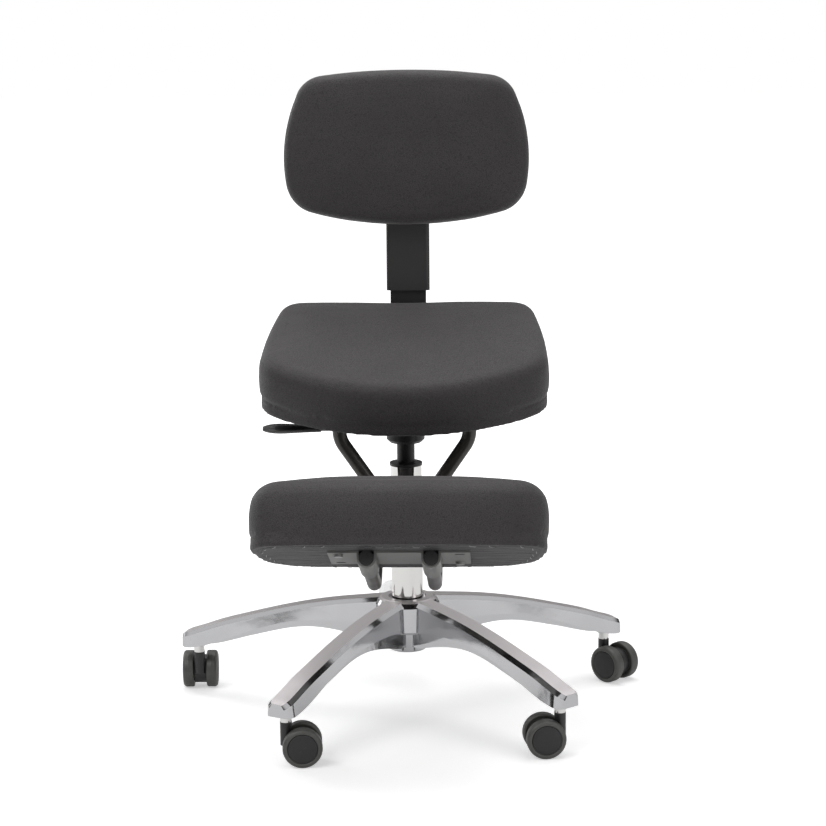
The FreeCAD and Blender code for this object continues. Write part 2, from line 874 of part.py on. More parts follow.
def knee_height_at(y, depth=0.0):
    """Height at y of the plane that lies depth under the knee pad's underside."""
    slope = math.radians(float(knee_angle))
    run = float(y) - float(size("knee_front_y"))
    return float(size("knee_front_height")) - run * math.tan(slope) - float(depth) / math.cos(slope)


def tube_route(side):
    depth = cloth + size("tube_radius")
    top_x = side * float(size("tube_top_x"))
    low_x = side * float(size("tube_low_x"))
    y = float(size("tube_y"))
    rear = float(size("tube_rear_y"))
    front = float(size("tube_front_y"))
    return [
        vector(top_x, rear, seat_height_at(rear, depth)),
        vector(top_x, y, seat_height_at(y, depth)),
        vector(top_x, y, size("tube_incline_top")),
        vector(low_x, y, size("tube_incline_bottom")),
        vector(low_x, y, knee_height_at(y, depth)),
        vector(low_x, front, knee_height_at(front, depth)),
    ]


def make_tubes():
    bend = float(size("tube_bend_radius"))
    radius = size("tube_radius")
    outer = float(radius)
    top_run = float(size("seat_plane_height") - size("tube_incline_top"))
    top_bend = min(bend, top_run * 0.35)
    caps = []
    for side, name in ((-1, "frame_tube_left"), (1, "frame_tube_right")):
        route = tube_route(side)
        item = doc.addObject("Part::Feature", name)
        item.Shape = swept_tube(route, [top_bend, bend, bend, bend], radius, size("tube_wall"))
        for reach in tube_screw_places():
            item.Shape = item.Shape.cut(tube_screw_hole(side, reach))
        keep(item, name)
        for end, inner in ((route[0], route[1]), (route[-1], route[-2])):
            away = (end - inner).normalize()
            plug = Part.makeCylinder(outer - float(size("tube_wall")), 12, end - away * 12, away)
            head = Part.makeCylinder(outer, float(size("cap_head")), end, away)
            caps.append(plug.fuse(head).removeSplitter())
    group("tube_end_caps", caps)


def tube_screw_places():
    """Distances back along the seat's underside of the screws through each tube."""
    return (0.0, 92.0)


def tube_screw_hole(side, reach):
    length = float(size("tube_radius")) * 2 + 4
    hole = Part.makeCylinder(float(size("screw_radius")), length,
                             vector(side * float(size("tube_top_x")), reach, -length), Vector(0, 0, 1))
    hole.Placement = seat_place.multiply(hole.Placement)
    return hole


# Pads: outlines of four wide arcs and four corner arcs, lofted through their thickness.

BOLT_BITE = 9.0


class Pad:
    """A pad's plan: half width, side radius, the y of its widest point, and its two ends."""

    def __init__(self, half_width, side_radius, widest, front, front_radius, rear, rear_radius,
                 front_corner, rear_corner):
        self.half_width = float(half_width)
        self.side_radius = float(side_radius)
        self.widest = float(widest)
        self.front = float(front)
        self.front_radius = float(front_radius)
        self.rear = float(rear)
        self.rear_radius = float(rear_radius)
        self.front_corner = float(front_corner)
        self.rear_corner = float(rear_corner)

    def corner(self, end_centre, end_radius, corner_radius):
        """The corner arc's centre and its two tangent points, on the +X side."""
        side_centre = Vector(self.half_width - self.side_radius, self.widest, 0)
        reach_side = self.side_radius - corner_radius
        reach_end = end_radius - corner_radius
        link = end_centre - side_centre
        span = link.Length
        along = (reach_side ** 2 - reach_end ** 2 + span ** 2) / (2 * span)
        off = math.sqrt(max(reach_side ** 2 - along ** 2, 0))
        unit = link * (1 / span)
        square = Vector(-unit.y, unit.x, 0)
        options = [side_centre + unit * along + square * off,
                   side_centre + unit * along - square * off]
        centre = max(options, key=lambda option: option.x)
        on_side = side_centre + (centre - side_centre).normalize() * self.side_radius
        on_end = end_centre + (centre - end_centre).normalize() * end_radius
        return centre, on_side, on_end

    def wire(self, inset, height, share=1.0):
        """The outline drawn in by inset and shrunk to a share, at a height, as eight arcs."""
        plan = self if inset == 0 else self.drawn_in(inset)
        front_centre = Vector(0, plan.front + plan.front_radius, 0)
        rear_centre = Vector(0, plan.rear - plan.rear_radius, 0)
        f_centre, f_side, f_end = plan.corner(front_centre, plan.front_radius, plan.front_corner)
        r_centre, r_side, r_end = plan.corner(rear_centre, plan.rear_radius, plan.rear_corner)
        middle_y = (plan.front + plan.rear) / 2

        def lift(p):
            return Vector(p.x * share, middle_y + (p.y - middle_y) * share, height)

        def flip(p):
            return Vector(-p.x, p.y, p.z)

        def bulge(centre, a, b, radius):
            middle = (a + b) * 0.5
            return centre + (middle - centre).normalize() * radius

        f_mid = bulge(f_centre, f_side, f_end, plan.front_corner)
        r_mid = bulge(r_centre, r_side, r_end, plan.rear_corner)
        side_centre = Vector(plan.half_width - plan.side_radius, plan.widest, 0)
        side_mid = bulge(side_centre, f_side, r_side, plan.side_radius)
        arcs = [
            (f_side, side_mid, r_side), (r_side, r_mid, r_end),
            (r_end, Vector(0, plan.rear, 0), flip(r_end)), (flip(r_end), flip(r_mid), flip(r_side)),
            (flip(r_side), flip(side_mid), flip(f_side)), (flip(f_side), flip(f_mid), flip(f_end)),
            (flip(f_end), Vector(0, plan.front, 0), f_end), (f_end, f_mid, f_side),
        ]
        return Part.Wire([Part.Arc(lift(a), lift(b), lift(c)).toShape() for a, b, c in arcs])

    def drawn_in(self, inset):
        return Pad(self.half_width - inset, self.side_radius - inset, self.widest,
                   self.front + inset, self.front_radius - inset, self.rear - inset,
                   self.rear_radius - inset, max(self.front_corner - inset, 6),
                   max(self.rear_corner - inset, 6))


def pad_solid(plan, low, high, roll, crown, wedge):
    """A closed pad with full sides, a rolled edge and a crown. Its top tilts up by wedge."""
    low = float(low)
    high = float(high)
    roll = float(roll)
    crown = float(crown)
    fullness = 2.5
    sections = [(fullness, low, 1.0, 0), (fullness * 0.3, low + (high - low) * 0.2, 1.0, 0.2),
                (0, low + (high - low) * 0.4, 1.0, 0.5)]
    for angle in (0, 22, 45, 67, 90):
        turn = math.radians(angle)
        sections.append((fullness * 0.3 + roll * (1 - math.cos(turn)),
                         high - roll + roll * math.sin(turn), 1.0, 1))
    edge = fullness * 0.3 + roll
    for share, rise in ((0.85, 0.35), (0.62, 0.78), (0.35, 1.0)):
        sections.append((edge, high + crown * rise, share, 1))
    wires = []
    for inset, height, share, lean in sections:
        wire = plan.wire(inset, height, share)
        wire.rotate(Vector(0, plan.front, height), Vector(1, 0, 0), wedge * lean)
        wires.append(wire)
    return Part.makeLoft(wires, True, True)


def slab(plan, inset, low, high):
    face = Part.Face(plan.wire(float(inset), float(low)))
    return face.extrude(Vector(0, 0, float(high) - float(low)))


def place_feature(label, shape, placement):
    item = doc.addObject("Part::Feature", label)
    item.Shape = shape
    return keep(item, label, placement)


def make_pad(prefix, plan, thickness, roll, crown, placement, wedge=0):
    """A board and the cushion that is glued to its face."""
    board = size("board_thickness")
    cushion = pad_solid(plan, board, thickness, roll, crown, float(wedge))
    place_feature(prefix + "_cushion", cushion, placement)
    place_feature(prefix + "_board", slab(plan, size("board_inset"), 0, board), placement)


seat_plan = Pad(size("seat_half_width"), size("seat_side_radius"), size("seat_widest_y"),
                size("seat_front_y"), size("seat_front_radius"), size("seat_rear_y"),
                size("seat_rear_radius"), size("seat_front_corner"), size("seat_rear_corner"))
knee_plan = Pad(size("knee_half_width"), size("knee_side_radius"), size("knee_widest"), 0,
                size("knee_front_radius"), size("knee_length"), size("knee_rear_radius"),
                size("knee_front_corner"), size("knee_rear_corner"))
back_plan = Pad(size("back_half_width"), size("back_side_radius"), size("back_widest"),
                -size("back_half_height"), size("back_bottom_radius"), size("back_half_height"),
                size("back_top_radius"), size("back_bottom_corner"), size("back_top_corner"))


def make_seat():
    make_pad("seat", seat_plan, size("seat_thickness"), size("seat_top_roll"),
             size("seat_crown"), seat_place, size("seat_wedge"))
    cover = slab(seat_plan, size("cloth_inset"), -cloth, 0)
    place_feature("seat_dust_cover", cover, seat_place)


def bolt_shape(x, y, grip):
    """A bolt from grip below a pad's underside up into its board."""
    grip = float(grip)
    rise = float(size("screw_head_height"))
    shank = Part.makeCylinder(float(size("screw_radius")), grip + BOLT_BITE, vector(x, y, -grip))
    head = Part.makeCylinder(float(size("screw_head_radius")), rise, vector(x, y, -grip - rise))
    return shank.fuse(head).removeSplitter()


def bolt_hole(x, y, grip):
    return Part.makeCylinder(float(size("screw_radius")), float(grip) + BOLT_BITE,
                             vector(x, y, -float(grip)))


def drill(label, tools):
    """Cuts clear holes for fasteners out of a finished node's shape."""
    item = next(node for node in nodes if node.Label == label)
    placement = item.Placement
    shape = item.Shape.copy()
    shape.Placement = Placement()
    for tool in tools:
        shape = shape.cut(tool)
    if item.TypeId == "Part::Feature":
        item.Shape = shape
        item.Placement = placement
        return item
    raise ValueError("only a shaped feature can be drilled: " + label)


def make_seat_fasteners():
    """Bolts up into the seat board: through the plate, the clamp's flanges and both tubes."""
    plate_grip = cloth + size("steel_plate")
    tube_grip = cloth + size("tube_radius") * 2
    flange_x = float(size("clamp_flange") - size("ear_bolt_inset"))
    flange_y = float(clamp_front + size("clamp_length") / 2)
    spots = [(x, y, plate_grip) for x, y in plate_bolt_spots()]
    for side in (-1, 1):
        spots.append((side * flange_x, flange_y, plate_grip))
        spots += [(side * float(size("tube_top_x")), reach, tube_grip) for reach in tube_screw_places()]
    group("seat_bolts", [bolt_shape(*spot) for spot in spots], seat_place)
    for label in ("seat_board", "seat_dust_cover"):
        drill(label, [bolt_hole(*spot) for spot in spots])


def make_knee_pad():
    make_pad("knee", knee_plan, size("knee_thickness"), size("knee_top_roll"),
             size("knee_crown"), knee_place)
    cover = slab(knee_plan, size("cloth_inset"), -cloth, 0)
    place_feature("knee_dust_cover", cover, knee_place)


def make_knee_bracket():
    """A strap that clamps both tubes to the knee board, with two holes in each wing."""
    plate = size("steel_plate")
    outer = size("tube_radius") + plate
    depth = cloth + size("tube_radius")
    front = size("bracket_front")
    rear = front + size("bracket_length")
    half = size("bracket_half_width")
    low_x = size("tube_low_x")
    strap = box("strap_flat", (-half, front, -cloth - plate), (half, rear, -cloth))
    solids = [strap]
    tools = [box("strap_top", (-half, front - 3, -cloth), (half, rear + 3, outer))]
    for side in (-1, 1):
        tag = "left" if side < 0 else "right"
        x = low_x * side
        saddle = cylinder("saddle_" + tag, outer, rear - front)
        lie_along(saddle, X_AXIS, -90, (x, front, -depth))
        cheek = box("saddle_cheek_" + tag, (x - outer, front, -depth), (x + outer, rear, -cloth))
        solids += [saddle, cheek]
        inner = size("tube_radius") + running_gap
        way = cylinder("tube_way_" + tag, inner, rear - front + 4)
        lie_along(way, X_AXIS, -90, (x, front - 2, -depth))
        gap = box("tube_gap_" + tag, (x - inner, front - 2, -depth), (x + inner, rear + 2, 1))
        tools += [way, gap]
        hole_x = size("bracket_hole_x") * side
        middle = (front + rear) / 2
        for row in (-1, 1):
            y = middle + size("bracket_hole_spacing") / 2 * row
            tip = "%s_%s" % (tag, "front" if row < 0 else "rear")
            stretch = (size("bracket_slot_length") - size("bracket_hole_radius") * 2) / 2
            for step, shift in enumerate((-stretch, stretch)):
                tools.append(cylinder("slot_end_%s_%d" % (tip, step), size("bracket_hole_radius"),
                                      plate + 4, -cloth - plate - 2))
                bind(tools[-1], **{"Placement.Base.x": hole_x + shift, "Placement.Base.y": y})
            tools.append(box("slot_middle_" + tip,
                             (hole_x - stretch, y - size("bracket_hole_radius"), -cloth - plate - 2),
                             (hole_x + stretch, y + size("bracket_hole_radius"), -cloth + 2)))
    bracket = cut("knee_bracket", fuse("strap_solid", solids), fuse("strap_holes", tools))
    keep(bracket, "knee_bracket", knee_place)
    middle = float(front) + float(size("bracket_length")) / 2
    step = float(size("bracket_hole_spacing")) / 2
    reach = float(size("bracket_hole_x"))
    spots = [(-reach, middle - step, cloth + plate), (reach, middle + step, cloth + plate)]
    group("knee_bracket_screws", [bolt_shape(*spot) for spot in spots], knee_place)
    for label in ("knee_board", "knee_dust_cover"):
        drill(label, [bolt_hole(*spot) for spot in spots])


# Back upright: a flat bar that slides in a clamp under the seat and carries the backrest.
bar_depth = cloth + size("clamp_wall") + 2
clamp_front = size("mechanism_length") / 2 + 1
upright_front = (clamp_front + size("clamp_length") - size("upright_depth_travel")
                 - size("upright_grip"))
upright_top = size("back_centre_height") + size("back_travel") + size("upright_reserve")


def upright_profile():
    """Side profile corners (y, z) of the bent bar, in the chair's frame."""
    thick = float(size("upright_thickness"))
    front = float(upright_front)
    top_depth = float(bar_depth)
    back = math.radians(float(size("back_tilt")))
    rear_y = float(size("upright_y"))
    top = float(upright_top)
    return thick, front, top_depth, back, rear_y, top


def upright_y_at(z, shift=0.0):
    """Where the bar's front face stands at a height, leaning back from its foot."""
    slope = math.tan(math.radians(float(size("back_tilt"))))
    return float(size("upright_y")) + (float(z) - float(size("back_centre_height"))) * slope + shift


def make_upright():
    thick, front, top_depth, back, rear_y, top = upright_profile()
    slope = math.tan(math.radians(float(seat_angle)))

    def meet(y_shift, depth):
        """Where the upright face meets the horizontal run's face."""
        z = seat_height_at(0, depth)
        y = 0.0
        for _ in range(40):
            y = upright_y_at(z, y_shift)
            z = seat_height_at(0, depth) + slope * y
        return y, z

    inner = meet(0.0, top_depth)
    outer = meet(thick / math.cos(back), top_depth + thick)
    under = math.radians(float(seat_angle))
    front_top = (front, seat_height_at(front, top_depth))
    front_low = (front + thick * math.sin(under), front_top[1] - thick * math.cos(under))
    corners = [front_top, inner, (upright_y_at(top), top),
               (upright_y_at(top, thick / math.cos(back)), top), outer, front_low]
    body = extrude("back_upright", "YZ_Plane", corners, size("upright_width"))
    half = float(size("upright_width")) / 2

    def near(edge, corner):
        middle = edge_middle(edge)
        close = math.hypot(middle.y - corner[0], middle.z - corner[1]) < 0.5
        return close and abs(middle.x) < half / 2

    bend = size("upright_bend_radius")
    round_edges(body, bend, lambda edge: near(edge, inner))
    round_edges(body, bend + size("upright_thickness"), lambda edge: near(edge, outer))
    keep(body, "back_upright")


def make_clamp():
    """A sheet-metal guide under the seat that holds the bar, with a lock knob below."""
    wall = size("clamp_wall")
    gap = running_gap
    half = size("upright_width") / 2
    y0 = clamp_front
    y1 = y0 + size("clamp_length")
    top = -bar_depth + gap
    low = -bar_depth - size("upright_thickness") - gap
    shell = box("clamp_shell", (-half - wall - gap, y0, low - wall), (half + wall + gap, y1, -cloth))
    tunnel = box("clamp_tunnel", (-half - gap, y0 - 1, low), (half + gap, y1 + 1, top))
    hole = cylinder("clamp_thread", size("knob_stem_radius"), wall + 4, low - wall - 2)
    bind(hole, **{"Placement.Base.y": (y0 + y1) / 2})
    flange = size("clamp_flange")
    plate = size("steel_plate")
    ears = box("clamp_ears", (-flange, y0, -cloth - plate), (flange, y1, -cloth))
    tools = [tunnel, hole]
    for side in (-1, 1):
        screw_way = cylinder("clamp_ear_hole_%s" % ("left" if side < 0 else "right"),
                             size("screw_radius"), plate + 4, -cloth - plate - 2)
        bind(screw_way, **{"Placement.Base.x": (flange - size("ear_bolt_inset")) * side,
                           "Placement.Base.y": (y0 + y1) / 2})
        tools.append(screw_way)
    solid = fuse("clamp_solid", [shell, ears])
    keep(cut("upright_clamp", solid, fuse("clamp_tools", tools)), "upright_clamp", seat_place)
    middle = (y0 + y1) / 2
    knob_top = low - wall - size("knob_standoff")
    knob = make_knob("depth_knob", wall + size("knob_standoff"))
    keep(knob, "depth_knob", seat_place.multiply(turned(X_AXIS, 180, (0, middle, knob_top))))


def make_knob(name, stem_reach):
    """A round hand knob on a short screw. The screw points to -Z from the knob's face."""
    knob = size("knob_radius")
    stem = size("knob_stem_radius") - running_gap
    length = size("knob_length")
    return revolve(name, [
        (0, -stem_reach), (stem, -stem_reach), (stem, 0), (stem + 5, 0), (stem + 6, 5),
        (knob - 2, 6), (knob, 9), (knob, length - 4), (knob - 4, length), (0, length),
    ])


# Backrest frame: local X across, local Y up the back, local Z out to the front.
# Its origin is on the back of the board, in front of the bar by the sleeve's wall and the carrier.
bar_front = size("steel_plate") + 0.3 + (size("sleeve_depth") - size("upright_thickness")) / 2
back_lean = float(size("back_tilt"))
back_base = (0, float(size("upright_y")) - float(bar_front) / math.cos(math.radians(back_lean)),
             size("back_centre_height"))
back_place = turned(X_AXIS, 90 - back_lean, back_base)


def make_sleeve():
    """The plastic sleeve round the bar, open at both ends."""
    half = size("sleeve_width") / 2
    deep = size("sleeve_depth")
    front = -bar_front + (deep - size("upright_thickness")) / 2
    low = size("sleeve_bottom") - size("back_centre_height")
    high = size("guide_low") - 0.5
    body = new_body("upright_sleeve")
    pad = body.newObject("PartDesign::Pad", "Pad")
    pad.Profile = outline(body, "XZ_Plane", [
        (-half, front - deep), (half, front - deep), (half, front), (-half, front)], -high)
    bind(pad, Length=high - low)
    pad.Reversed = False
    corner = size("sleeve_corner")
    round_edges(body, corner, lambda edge: edge.Length > float(high - low) - 1)
    bar = size("upright_width") / 2 + running_gap
    ways = body.newObject("PartDesign::Pocket", "BarWay")
    ways.Profile = outline(body, "XZ_Plane", [
        (-bar, -bar_front - size("upright_thickness") - running_gap),
        (bar, -bar_front - size("upright_thickness") - running_gap),
        (bar, -bar_front + running_gap), (-bar, -bar_front + running_gap)])
    ways.Type = "ThroughAll"
    ways.SideType = "Symmetric"
    return keep(body, "upright_sleeve", back_place)


def make_carrier():
    """The steel plate behind the board with the guide that slides on the bar."""
    plate = size("steel_plate")
    wide = size("carrier_half_width")
    wall = size("clamp_wall")
    bar = size("upright_width") / 2 + running_gap
    rear = -bar_front - size("upright_thickness") - running_gap
    low = size("guide_low")
    high = size("guide_high")
    flat = box("carrier_plate", (-wide, size("carrier_low"), -plate), (wide, size("carrier_high"), 0))
    guide = box("carrier_guide", (-bar - wall, low, rear - wall), (bar + wall, high, -plate / 2))
    way = box("carrier_way", (-bar, low - 1, rear), (bar, high + 1, -bar_front + running_gap))
    middle = (low + high) / 2
    thread = cylinder("carrier_thread", size("knob_stem_radius"), wall + 4, rear - wall - 2)
    bind(thread, **{"Placement.Base.y": middle})
    tools = [way, thread]
    spots = []
    for side in (-1, 1):
        for end, reach in (("low", size("carrier_low") + size("carrier_bolt_inset")),
                           ("high", size("carrier_high") - size("carrier_bolt_inset"))):
            x = (wide - size("ear_bolt_inset")) * side
            hole = cylinder("carrier_hole_%s_%d" % (end, side), size("screw_radius"), plate + 4,
                            -plate - 2)
            bind(hole, **{"Placement.Base.x": x, "Placement.Base.y": reach})
            tools.append(hole)
            spots.append((x, reach, plate))
    solid = fuse("carrier_solid", [flat, guide])
    keep(cut("backrest_carrier", solid, fuse("carrier_tools", tools)), "backrest_carrier", back_place)
    group("backrest_screws", [bolt_shape(*spot) for spot in spots], back_place)
    drill("backrest_board", [bolt_hole(*spot) for spot in spots])
    knob = make_knob("height_knob", wall + size("knob_standoff"))
    face = rear - wall - size("knob_standoff")
    keep(knob, "height_knob", back_place.multiply(turned(X_AXIS, 180, (0, middle, face))))


def make_backrest():
    make_pad("backrest", back_plan, size("board_thickness") + size("back_cushion_thickness"),
             size("back_roll"), size("back_crown"), back_place)
    deep = float(size("shell_depth"))
    wall = float(size("shell_wall"))
    inset = float(size("board_inset"))
    outside = slab(back_plan, inset, -deep, 0)
    inside = slab(back_plan, inset + wall, -deep + wall, 1)
    room = float(size("carrier_half_width")) + 2
    below = float(size("back_half_height")) + 20
    window = Part.makeBox(room * 2, below + float(size("carrier_high")) + 2, deep * 2,
                          vector(-room, -below, -deep - 1))
    place_feature("backrest_shell", outside.cut(inside).cut(window), back_place)


# Everything is built in the order in which it stacks up from the floor.
make_casters()
make_star_base()
make_column()
make_rod()
make_gas_cylinder()
make_mechanism()
make_lever()
make_tubes()
make_seat()
make_seat_fasteners()
make_knee_pad()
make_knee_bracket()
make_upright()
make_clamp()
make_backrest()
make_sleeve()
make_carrier()
doc.recompute()

for item in doc.Objects:
    if "Invalid" in item.State or "Error" in item.State:
        raise RuntimeError("%s failed: %s" % (item.Label, item.State))
os.makedirs("parts", exist_ok=True)
for node in nodes:
    shape = node.Shape
    if shape.isNull() or not shape.isValid():
        raise RuntimeError("bad shape: " + node.Label)
    shape.exportStep("parts/%s.step" % node.Label)
print(len(nodes), "nodes")
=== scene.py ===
import bpy
import bmesh
import math
from mathutils import Matrix, Vector, noise
from mathutils.bvhtree import BVHTree


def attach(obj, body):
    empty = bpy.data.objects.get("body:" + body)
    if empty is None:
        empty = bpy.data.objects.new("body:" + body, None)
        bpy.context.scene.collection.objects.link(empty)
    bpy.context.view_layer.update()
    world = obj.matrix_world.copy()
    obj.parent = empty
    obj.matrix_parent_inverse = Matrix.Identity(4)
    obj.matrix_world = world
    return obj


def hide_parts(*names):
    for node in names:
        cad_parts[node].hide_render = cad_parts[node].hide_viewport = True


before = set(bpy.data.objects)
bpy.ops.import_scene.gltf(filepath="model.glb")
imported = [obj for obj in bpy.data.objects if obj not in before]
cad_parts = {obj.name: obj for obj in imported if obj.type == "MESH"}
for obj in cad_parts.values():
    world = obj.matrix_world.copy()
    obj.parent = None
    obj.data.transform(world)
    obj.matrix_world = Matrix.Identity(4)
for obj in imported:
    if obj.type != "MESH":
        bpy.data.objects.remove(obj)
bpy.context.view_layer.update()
scene = bpy.context.scene


# Camera and light

def look_from(name, place, right, up, forward, lens):
    data = bpy.data.cameras.new(name)
    data.lens = lens
    data.sensor_width = 36
    data.clip_end = 50
    camera = bpy.data.objects.new(name, data)
    scene.collection.objects.link(camera)
    turn = Matrix((right, up, [-value for value in forward])).transposed()
    camera.matrix_world = Matrix.Translation(place) @ turn.to_4x4()
    return camera


scene.camera = look_from("camera", (0.14002, -4.00962, 1.24735),
                         (0.99949987, 0.02999479, -0.01001617),
                         (0.00414887, 0.18961877, 0.98184902),
                         (-0.03134961, 0.98139953, -0.18939949), 113.317)


def area_light(name, place, target, size, power, tint=(1, 1, 1)):
    data = bpy.data.lights.new(name, "AREA")
    data.shape = "RECTANGLE"
    data.size, data.size_y = size
    data.energy = power
    data.color = tint
    lamp = bpy.data.objects.new(name, data)
    scene.collection.objects.link(lamp)
    lamp.location = place
    lamp.rotation_euler = (Vector(target) - Vector(place)).to_track_quat("-Z", "Y").to_euler()
    return lamp


area_light("key_softbox", (-2.0, -2.2, 3.0), (0, 0, 0.5), (2.2, 1.6), 46)
area_light("fill_softbox", (2.6, -1.8, 1.6), (0, 0, 0.5), (1.2, 2.2), 15)
area_light("top_softbox", (0.2, 0.6, 3.2), (0, 0, 0.4), (2.6, 1.8), 44)
area_light("rim_left", (-2.2, 1.6, 1.5), (0, 0, 0.6), (0.6, 1.8), 14)

scene.view_settings.view_transform = "Standard"


# Materials

def new_material(name):
    material = bpy.data.materials.new(name)
    material.use_nodes = True
    nodes = material.node_tree.nodes
    return material, nodes, material.node_tree.links, nodes["Principled BSDF"]


def put(nodes, links, kind, inputs=None, **settings):
    """Adds a node, with its settings and its inputs, each a number or a link."""
    node = nodes.new("ShaderNode" + kind)
    for key, value in settings.items():
        setattr(node, key, value)
    for key, value in (inputs or {}).items():
        if isinstance(value, bpy.types.NodeSocket):
            links.new(value, node.inputs[key])
        else:
            node.inputs[key].default_value = value
    return node


def place_of(nodes, links, stretch=(1, 1, 1)):
    spot = put(nodes, links, "TexCoord")
    return put(nodes, links, "Mapping", {"Vector": spot.outputs["Object"], "Scale": stretch})


def clouds(nodes, links, where, scale, detail=3.0, rough=0.55):
    return put(nodes, links, "TexNoise", {"Vector": where.outputs[0], "Scale": scale,
                                          "Detail": detail, "Roughness": rough})


def ramp(nodes, links, value, stops):
    node = put(nodes, links, "ValToRGB", {"Fac": value})
    bar = node.color_ramp
    bar.elements[0].position, bar.elements[0].color = stops[0]
    bar.elements[1].position, bar.elements[1].color = stops[-1]
    for position, colour in stops[1:-1]:
        element = bar.elements.new(position)
        element.color = colour
    return node


def colour_mix(nodes, links, factor, first, second):
    """The colour output of a mix of two colours. The numbers are the colour sockets' places."""
    node = put(nodes, links, "Mix", {0: factor, 6: first, 7: second}, data_type="RGBA")
    return node.outputs[2]


def value_mix(nodes, links, factor, first, second):
    node = put(nodes, links, "Mix", {0: factor, 2: first, 3: second})
    return node.outputs[0]


def grey(value):
    return (value, value, value, 1)


def linear(text):
    """A colour as a shader takes it, from its screen value."""
    parts = [int(text[i:i + 2], 16) / 255 for i in (0, 2, 4)]
    return tuple(((p + 0.055) / 1.055) ** 2.4 if p > 0.04045 else p / 12.92 for p in parts) + (1,)


def metal(name, colour, rough, mottle=0.04, brushed=(1, 1, 1), scale=60.0, bump=0.02, dust=0.06):
    """Bare or plated metal: a varied gloss, fine handling marks and a dulled film."""
    material, nodes, links, shader = new_material(name)
    where = place_of(nodes, links, brushed)
    fine = clouds(nodes, links, where, scale * 6, 4)
    broad = clouds(nodes, links, where, scale * 0.4, 2)
    tone = ramp(nodes, links, broad.outputs["Fac"],
                [(0.3, tuple(c * (1 - mottle) for c in colour[:3]) + (1,)), (0.7, colour)])
    links.new(tone.outputs[0], shader.inputs["Base Color"])
    gloss = put(nodes, links, "MapRange", {"Value": broad.outputs["Fac"], "From Min": 0.3,
                                           "From Max": 0.7, "To Min": rough,
                                           "To Max": rough + dust})
    links.new(gloss.outputs[0], shader.inputs["Roughness"])
    shader.inputs["Metallic"].default_value = 1.0
    lift = put(nodes, links, "Bump", {"Height": fine.outputs["Fac"], "Strength": bump,
                                      "Distance": 0.0004})
    links.new(lift.outputs[0], shader.inputs["Normal"])
    return material


def plastic(name, colour, rough, grain=1400.0, bump=0.25, depth=0.00012, spec=0.45, metallic=0.0,
            spread=0.25):
    """Moulded plastic or paint: fine grain, faint flow marks, and a painted highlight on the convex
    edges.
    """
    material, nodes, links, shader = new_material(name)
    where = place_of(nodes, links)
    fine = clouds(nodes, links, where, grain, 2)
    broad = clouds(nodes, links, where, 22, 3)
    high = tuple(min(c * (1 + spread), 1) for c in colour[:3]) + (1,)
    tone = ramp(nodes, links, broad.outputs["Fac"], [(0.35, colour), (0.75, high)])
    edge = put(nodes, links, "NewGeometry")
    # Painted highlight: the colour is made much lighter on convex edges, where the lights glint.
    edge_highlight_mask = ramp(nodes, links, edge.outputs["Pointiness"], [(0.52, (0, 0, 0, 1)),
                                                           (0.62, (0.35, 0.35, 0.35, 1))])
    edge_highlight_colour = tuple(c * 2.2 for c in high[:3]) + (1,)
    mix = colour_mix(nodes, links, edge_highlight_mask.outputs[0], tone.outputs[0], edge_highlight_colour)
    links.new(mix, shader.inputs["Base Color"])
    gloss = put(nodes, links, "MapRange", {"Value": broad.outputs["Fac"], "From Min": 0.3,
                                           "From Max": 0.7, "To Min": rough,
                                           "To Max": rough + 0.1})
    links.new(gloss.outputs[0], shader.inputs["Roughness"])
    shader.inputs["Metallic"].default_value = metallic
    shader.inputs["Specular IOR Level"].default_value = spec
    lift = put(nodes, links, "Bump", {"Height": fine.outputs["Fac"], "Strength": bump,
                                      "Distance": depth})
    links.new(lift.outputs[0], shader.inputs["Normal"])
    return material


def leather(name, low, high):
    """Pebbled charcoal covering: small cells with painted shade in the creased valleys between them,
    and a satin face.
    """
    material, nodes, links, shader = new_material(name)
    where = place_of(nodes, links)
    warp = clouds(nodes, links, where, 180, 2)
    bent = put(nodes, links, "VectorMath", {0: where.outputs[0]}, operation="ADD")
    small = put(nodes, links, "VectorMath", {0: warp.outputs["Color"], "Scale": 0.0012},
                operation="SCALE")
    links.new(small.outputs[0], bent.inputs[1])
    cells = put(nodes, links, "TexVoronoi", {"Vector": bent.outputs[0], "Scale": 430.0,
                                             "Smoothness": 0.6}, feature="SMOOTH_F1")
    creases = put(nodes, links, "TexVoronoi", {"Vector": bent.outputs[0], "Scale": 430.0},
                  feature="DISTANCE_TO_EDGE")
    broad = clouds(nodes, links, where, 9, 3)
    # Painted shade: the colour is darker along the creases between the cells.
    crease_shade_mask = ramp(nodes, links, creases.outputs["Distance"], [(0.0, grey(0.0)), (0.16, grey(1.0))])
    tone = ramp(nodes, links, broad.outputs["Fac"], [(0.3, low), (0.7, high)])
    crease_shade_colour = tuple(c * 0.62 for c in low[:3]) + (1,)
    mix = colour_mix(nodes, links, crease_shade_mask.outputs[0], crease_shade_colour, tone.outputs[0])
    links.new(mix, shader.inputs["Base Color"])
    gloss = put(nodes, links, "MapRange", {"Value": creases.outputs["Distance"], "From Min": 0.0,
                                           "From Max": 0.2, "To Min": 0.72, "To Max": 0.56})
    links.new(gloss.outputs[0], shader.inputs["Roughness"])
    shader.inputs["Specular IOR Level"].default_value = 0.32
    shader.inputs["Sheen Weight"].default_value = 0.12
    shader.inputs["Sheen Roughness"].default_value = 0.5
    first = put(nodes, links, "Bump", {"Height": cells.outputs["Distance"], "Strength": 0.55,
                                       "Distance": 0.0005}, invert=True)
    second = put(nodes, links, "Bump", {"Height": broad.outputs["Fac"], "Strength": 0.15,
                                        "Distance": 0.002, "Normal": first.outputs[0]})
    links.new(second.outputs[0], shader.inputs["Normal"])
    return material


